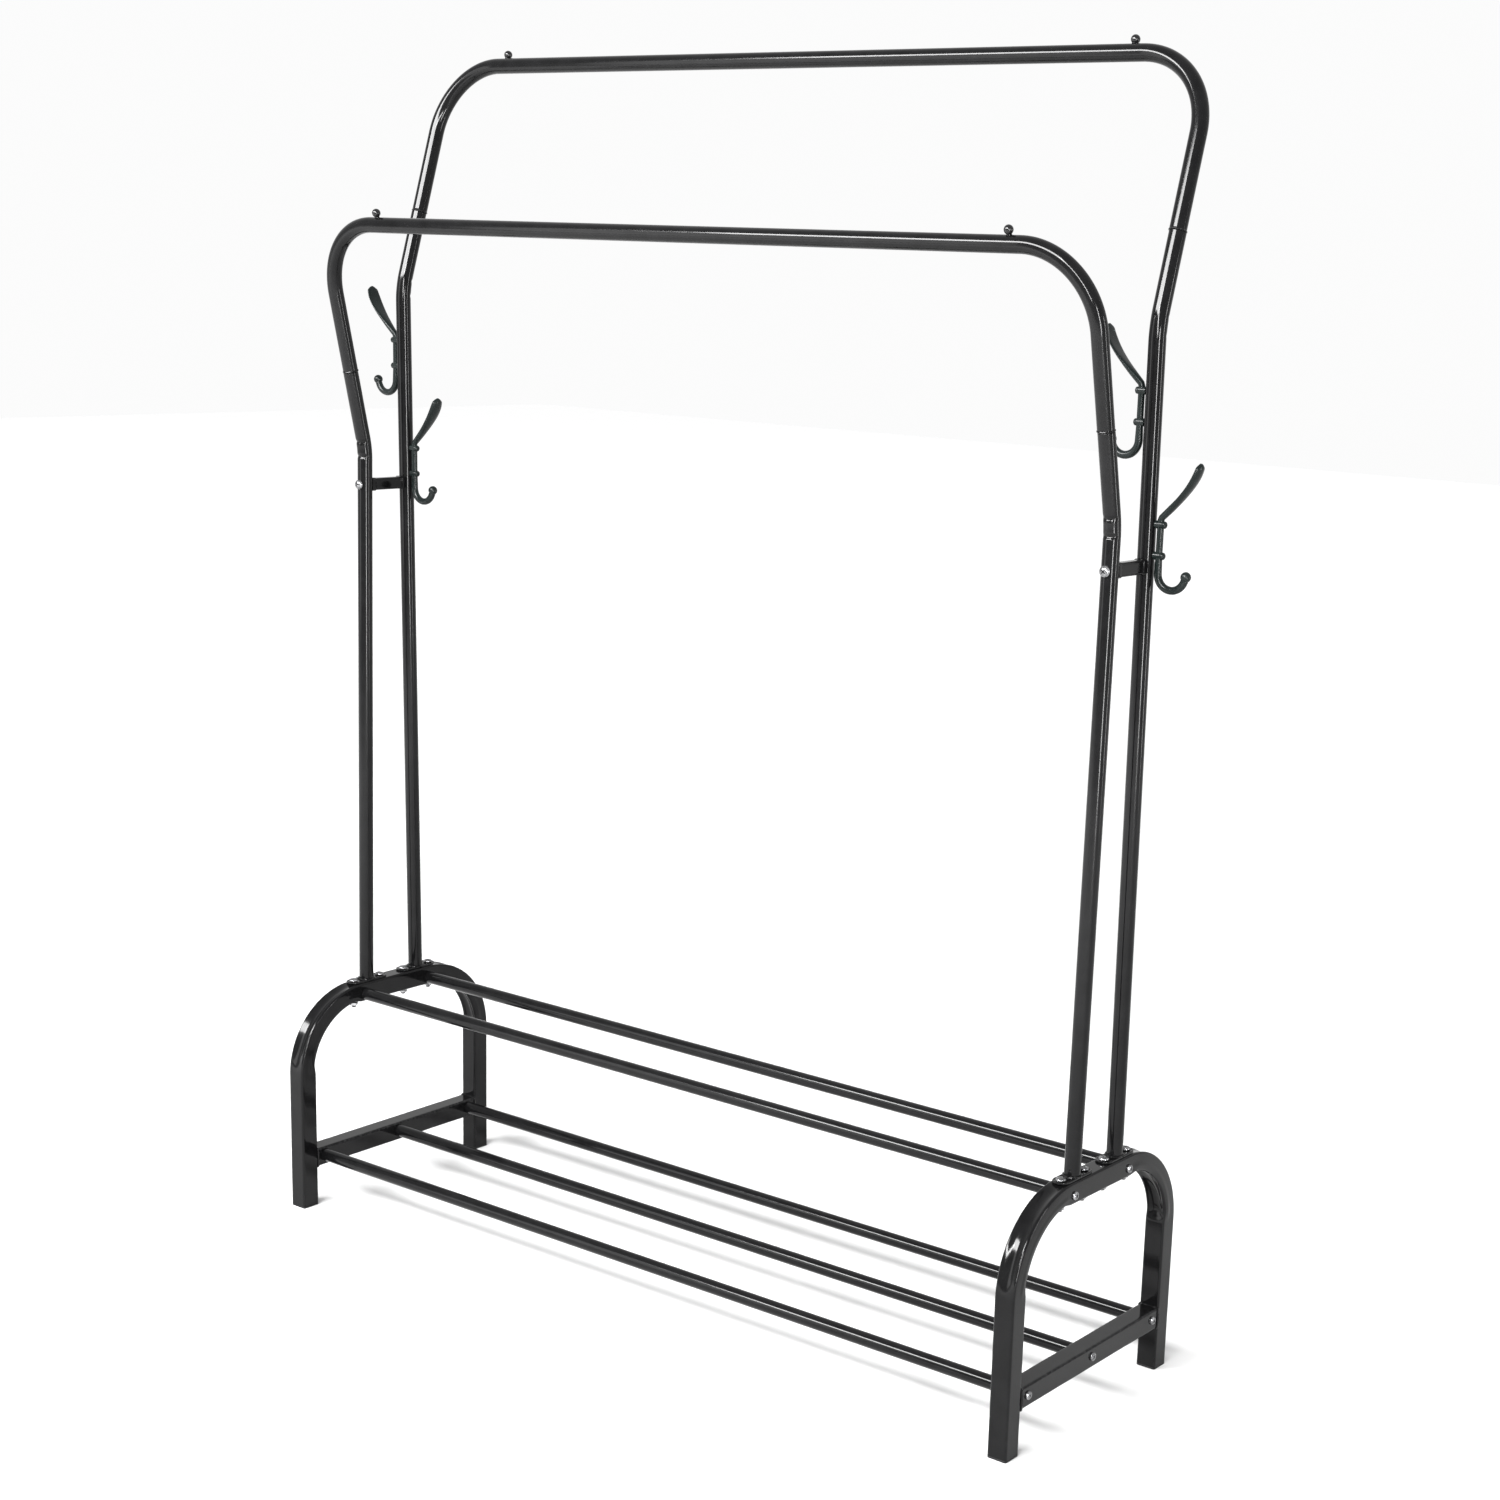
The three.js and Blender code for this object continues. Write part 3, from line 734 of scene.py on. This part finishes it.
def nut_mesh():
    """A hexagon nut with chamfered ends, its underside at zero."""
    chamfer = 0.5 * MM
    levels = [(0.9, 0.0), (1.0, chamfer), (1.0, NUT_THICK - chamfer), (0.9, NUT_THICK)]
    outer = NUT_ACROSS / math.sqrt(3)
    bm = bmesh.new()
    skin(bm, [[Vector((p.x, p.y, z)) for p in circle(outer * share, 6)] for share, z in levels])
    return finish_mesh(bm, "base_nut", 20)


SCREWS = {
    "base_bolt": screw_mesh("base_bolt", 3 * MM, 37 * MM, 6 * MM),
    "rod_screw": screw_mesh("rod_screw", 2.75 * MM, 34 * MM, 5 * MM),
    "brace_bolt": screw_mesh("brace_bolt", 2.75 * MM, 33 * MM, 6.2 * MM, domed=True),
}
NUT = nut_mesh()


def screw(node, kind, axis, spin):
    """Puts a screw so that its head's outer end meets the box's face on the axis side."""
    low, high, middle = box_of(node)
    place = middle.copy()
    reach = max(axis, key=abs)
    index = list(axis).index(reach)
    tip = high[index] if reach > 0 else low[index]
    place[index] = tip - reach * HEAD_HIGH[kind]
    matrix = aimed(place, axis) @ Matrix.Rotation(spin, 4, "Z")
    piece(node + "_metal", SCREWS[kind], node, "screw_black", matrix)


def nut(node, spin):
    low, _, middle = box_of(node)
    place = Matrix.Translation(Vector((middle.x, middle.y, low.z)))
    piece(node + "_metal", NUT, node, "screw_black", place @ Matrix.Rotation(spin, 4, "Z"))


# ---- Shelf rods and braces ----
def shelf_rod(node):
    low, high, middle = box_of(node)
    # The CAD rod shows flats to its box, so its corners stand farther out.
    radius = (high.y - low.y) / 2 / math.cos(math.pi / ROD_CAD_SIDES)
    levels = [(0.93, 0.0), (1.0, 0.6 * MM), (1.0, 60 * MM)]
    places = [(share, low.x + inset) for share, inset in levels]
    places += [(share, high.x - inset) for share, inset in reversed(levels)]
    rings = []
    for share, x in places:
        centre = Vector((x, middle.y, middle.z))
        rings.append([centre + Y * p.x + Z * p.y for p in circle(radius * share, 36)])
    bm = bmesh.new()
    skin(bm, rings)
    piece(node + "_tube", finish_mesh(bm, node), node, "powder_coat")


def brace(node):
    """A flat bar whose ends flare and wrap the uprights."""
    low, high, middle = box_of(node)
    saddle = (TUBE_R + GAP) ** 2
    rings = []
    for way, face in ((1, low.y), (-1, high.y)):
        tube_y = face - way * math.sqrt(saddle - BRACE_FLARED ** 2)
        made = []
        for inset, wide, tall in BRACE_FLARE:
            outline = rounded_rect(BRACE_HALF_X * wide, BRACE_HALF_Z * tall, BRACE_CORNER, across=6)
            ring = []
            for p in outline:
                reach = TUBE_R + inset * MM if inset else math.sqrt(saddle - p.x ** 2)
                ring.append(Vector((middle.x + p.x, tube_y + way * reach, middle.z + p.y)))
            made.append(ring)
        rings += made if way > 0 else reversed(made)
    bm = bmesh.new()
    skin(bm, rings)
    piece(node + "_bar", finish_mesh(bm, node), node, "powder_coat")


# ---- Coat hooks ----
def bezier(points, t):
    a, b, c, d = points
    s = 1 - t
    return a * s ** 3 + b * 3 * s * s * t + c * 3 * s * t * t + d * t ** 3


def hook_line():
    """Stations from the prong's tip to the ball, in mm: place, half width, half thickness, cup."""
    prong = [Vector((HOOK_STEM + x, y)) for x, y in PRONG]
    line = []
    for i in range(33):
        u = i / 32
        # The tip is rounded, the blade is widest a third of the way down, the root is round.
        spread = math.sin(math.pi * (0.12 + 0.88 * u ** 0.85))
        tip = min(1, math.sqrt(u * 9 + 0.03))
        wide = (HOOK_R + BLADE_EXTRA * spread) * tip
        thick = HOOK_R - BLADE_THIN * math.sin(math.pi * min(1, 1.12 * u + 0.02))
        place = bezier(prong, u * u * 0.35 + u * 0.65)
        line.append((place, wide, thick * max(tip, 0.35), BLADE_CUP * spread * tip))
    for height, radius in STEM_RINGS:
        line.append((Vector((HOOK_STEM, height)), radius, radius, 0))
    centre = Vector((HOOK_STEM + CURL_R, -HOOK_SCREWS - CURL_DROP))
    for i in range(29):
        a = math.pi + i / 28 * CURL_SWEEP
        place = centre + CURL_R * Vector((math.cos(a), math.sin(a)))
        line.append((place, CURL_BAR, CURL_BAR, 0))
    ahead = Vector((-math.sin(a), math.cos(a)))
    for i in range(9):
        b = math.radians(-44 + i * 16.5)
        along = CURL_BALL_AHEAD + CURL_BALL_R * math.sin(b)
        radius = CURL_BALL_R * math.cos(b)
        line.append((place + ahead * along, radius, radius, 0))
    return line


def boss_mesh():
    """A spacer from the upright to the stem and beyond, with a cross-head screw in its end."""
    near = TUBE_R / MM + GAP / MM
    far = HOOK_STEM + HOOK_R
    top = far + BOSS_HIGH
    profile = [(0, near), (4.0, near), (4.3, near + 0.4), (4.3, far - 1.2), (4.0, far - 0.6)]
    profile.append((3.9, far + 1.2))
    for a in (0.2, 0.5, 0.8, 1.1, 1.35):
        profile.append((3.9 * math.cos(a), far + 1.4 + 2.2 * math.sin(a)))
    profile.append((0, top))
    body = finish_mesh(turned(in_metres(profile), 24), "boss", 40)
    return carved(body, cross_cutter(top * MM, 2.1 * MM, 0.45 * MM, 1.4 * MM))


def coat_hook(node):
    _, end, word = node.rsplit("_", 2)
    out = X if word == "lower" else -X
    _, high, middle = box_of(node)
    _, _, post = box_of("upright_rear_" + end)
    line = hook_line()
    tip_above = max(place.y for place, *_ in line) * MM
    origin = Vector((post.x, middle.y, high.z - tip_above - 0.2 * MM))
    rings = []
    for k, (place, wide, thick, cup) in enumerate(line):
        before = line[max(k - 1, 0)][0]
        after = line[min(k + 1, len(line) - 1)][0]
        along = (after - before).normalized()
        across = Vector((-along.y, along.x))
        ring = []
        for p in circle(1.0, 24):
            lift = cup * (p.y * p.y - 0.5)
            spot = place + across * (p.x * thick - lift)
            ring.append(origin + (out * spot.x + Y * p.y * wide + Z * spot.y) * MM)
        rings.append(ring)
    bm = bmesh.new()
    skin(bm, rings)
    mesh = finish_mesh(bm, node, 50)

    boss = boss_mesh()
    whole = bmesh.new()
    whole.from_mesh(mesh)
    for height in (0, -HOOK_SCREWS * MM):
        part = boss.copy()
        part.transform(aimed(origin + Z * height, out))
        whole.from_mesh(part)
    whole.to_mesh(mesh)
    whole.free()
    mesh.set_sharp_from_angle(angle=math.radians(45))
    piece(node + "_casting", mesh, node, "hook_coat")


# ---- Build every piece ----
BUILDERS = {
    "end_frame": end_frame,
    "crossbar": crossbar,
    "foot": foot,
    "upright": upright,
    "top_rail": top_rail,
    "stop_ball": stop_ball,
    "shelf_rod": shelf_rod,
    "brace": brace,
    "coat_hook": coat_hook,
}

for number, name in enumerate(sorted(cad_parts)):
    spin = SPIN_STEP * number
    if name.startswith("base_bolt"):
        screw(name, "base_bolt", Z, spin)
    elif name.startswith("rod_screw"):
        screw(name, "rod_screw", X if "_right" in name else -X, spin)
    elif name.startswith("brace_bolt"):
        screw(name, "brace_bolt", Y if "_rear" in name else -Y, spin)
    elif name.startswith("base_nut"):
        nut(name, spin)
    else:
        kind = next(word for word in BUILDERS if name.startswith(word + "_"))
        BUILDERS[kind](name)


# ---- Floor, world, lights and camera ----
def floor():
    """A plain pale floor, darker near the rack as painted shade and paler and faintly glowing far
    away as painted light, which even out the lamps' light so that it meets a white room.
    """
    half = 14
    bm = bmesh.new()
    corners = [(-half, -half, 0), (half, -half, 0), (half, half, 0), (-half, half, 0)]
    bm.faces.new(ring_of(bm, corners))
    mesh = plain_mesh(bm, "floor")
    made = add_object("floor", mesh)
    nodes = Nodes("floor_paint")
    place = nodes.add("ShaderNodeTexCoord").outputs["Object"]
    length = nodes.add("ShaderNodeVectorMath", operation="LENGTH")
    nodes.link(place, length.inputs[0])
    away = length.outputs["Value"]
    # Painted shade: darker near the rack and paler far away, to even out the lamps' light.
    paler = nodes.spread(away, 0.0, 1.0, 1.5, 5.5)
    nodes.link(nodes.blend(paler, (0.5, 0.5, 0.5), (0.92, 0.92, 0.92)), "Base Color")
    # Painted light: the far floor glows though it is no lamp.
    nodes.link(nodes.spread(away, 0.0, 0.22, 3.0, 7.0), "Emission Strength")
    nodes.set(Roughness=0.9, Specular_IOR_Level=0.1, Emission_Color=(1, 1, 1, 1))
    mesh.materials.append(nodes.material)


def world_light(front, back):
    """A plain white room, dimmer in front of the rack (-Y) than behind it (+Y)."""
    world = bpy.data.worlds.new("studio")
    world.use_nodes = True
    tree = world.node_tree
    shade = tree.nodes["Background"]
    shade.inputs["Color"].default_value = (1, 1, 1, 1)
    way = tree.nodes.new("ShaderNodeTexCoord")
    split = tree.nodes.new("ShaderNodeSeparateXYZ")
    ramp = tree.nodes.new("ShaderNodeMapRange")
    limits = {"From Min": -0.4, "From Max": 0.5, "To Min": front, "To Max": back}
    for key, value in limits.items():
        ramp.inputs[key].default_value = value
    tree.links.new(way.outputs["Generated"], split.inputs["Vector"])
    tree.links.new(split.outputs["Y"], ramp.inputs["Value"])
    tree.links.new(ramp.outputs["Result"], shade.inputs["Strength"])
    scene.world = world


def softbox(name, place, target, size, watts, roll=0.0):
    """A rectangular area light at place that faces target, turned by roll degrees."""
    data = bpy.data.lights.new(name, "AREA")
    data.shape = "RECTANGLE"
    data.size = size[0]
    data.size_y = size[1]
    data.energy = watts
    made = add_object(name, data)
    made.location = place
    aim = (Vector(target) - Vector(place)).to_track_quat("-Z", "Y").to_matrix()
    made.rotation_euler = (aim @ Matrix.Rotation(math.radians(roll), 3, "Z")).to_euler()


def camera(place, yaw, pitch, roll, focal, shift):
    """yaw turns the view from +Y towards -X, pitch tips it down, roll turns the picture."""
    yaw, pitch, roll = (math.radians(a) for a in (yaw, pitch, roll))
    level = Vector((-math.sin(yaw), math.cos(yaw), 0))
    ahead = level * math.cos(pitch) - Z * math.sin(pitch)
    side = Vector((math.cos(yaw), math.sin(yaw), 0))
    above = side.cross(ahead)
    right = side * math.cos(roll) + above * math.sin(roll)
    up = above * math.cos(roll) - side * math.sin(roll)
    data = bpy.data.cameras.new("camera")
    data.sensor_width = 36
    data.lens = focal
    data.shift_x = shift[0]
    data.shift_y = shift[1]
    data.clip_start = 0.05
    data.clip_end = 60
    made = add_object("camera", data)
    turn = Matrix((right, up, -ahead)).transposed()
    made.matrix_world = Matrix.Translation(Vector(place)) @ turn.to_4x4()
    scene.camera = made


floor()
world_light(front=0.68, back=0.97)
softbox("key_left", (-1.05, -3.2, 3.1), (-1.05, 0, 0.8), size=(3.9, 0.9), watts=680)
softbox("fill_left", (-2.3, -3.0, 1.5), (0.2, 0, 0.6), size=(1.4, 2.4), watts=38)
softbox("strip_over", (1.6, -3.4, 2.35), (0.55, 0, 1.25), size=(2.6, 0.32), watts=230, roll=-45)
softbox("strip_right", (3.94, -2.1, 0.85), (0.3, 0, 0.8), size=(0.4, 1.9), watts=175)
softbox("rim_right", (4.2, 1.5, 0.95), (0.3, 0, 0.8), size=(0.3, 1.9), watts=56)
camera(
    (1.9353, -2.2738, 1.2567),
    yaw=35.55,
    pitch=13.24,
    roll=2.24,
    focal=59.98,
    shift=(-0.1109, 0.0746),
)
